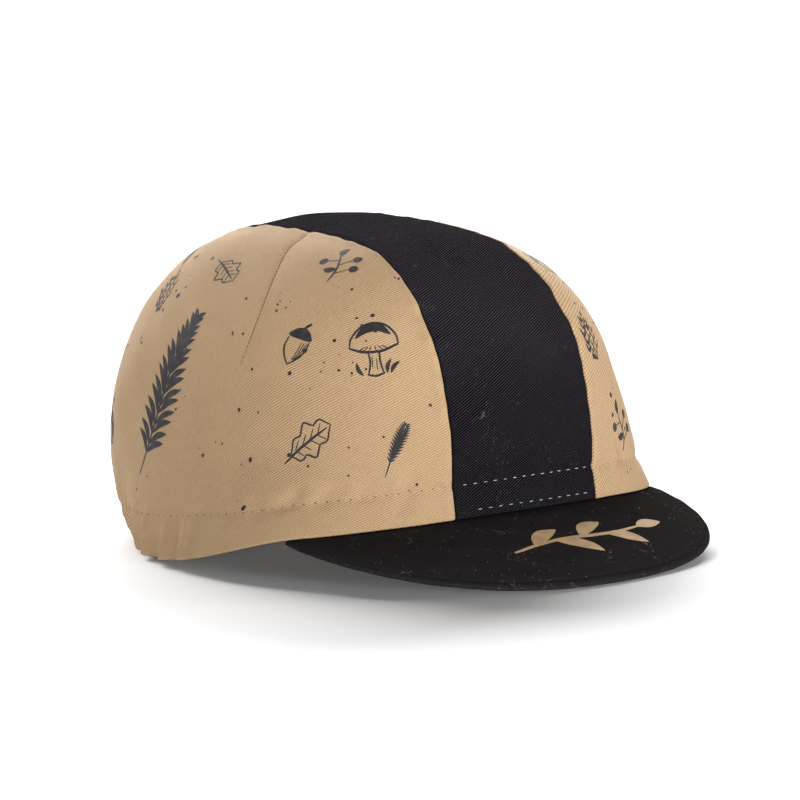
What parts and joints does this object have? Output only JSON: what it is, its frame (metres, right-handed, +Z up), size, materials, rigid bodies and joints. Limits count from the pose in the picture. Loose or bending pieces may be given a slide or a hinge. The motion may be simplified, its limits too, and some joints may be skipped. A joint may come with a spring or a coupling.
{
  "type": "three-panel cotton cap",
  "caption": "Soft cotton cap with two side panels, a centre strip from front to rear, an inner hem band gathered at the rear and a short peak.",
  "frame": {"origin": "middle of the cap's box, on the surface that it stands on", "axes": "+Z up, -Y towards the front where the peak is, +X towards the wearer's left"},
  "size_m": [0.173, 0.228, 0.1081],
  "materials": {
    "tan_twill": "matte printed cotton twill",
    "black_twill": "matte cotton twill"
  },
  "bodies": {
    "root": {"side_panel_right": "tan_twill", "side_panel_left": "tan_twill", "centre_strip": "black_twill", "hem_band": "black_twill", "peak": "black_twill"}
  },
  "joints": []
}
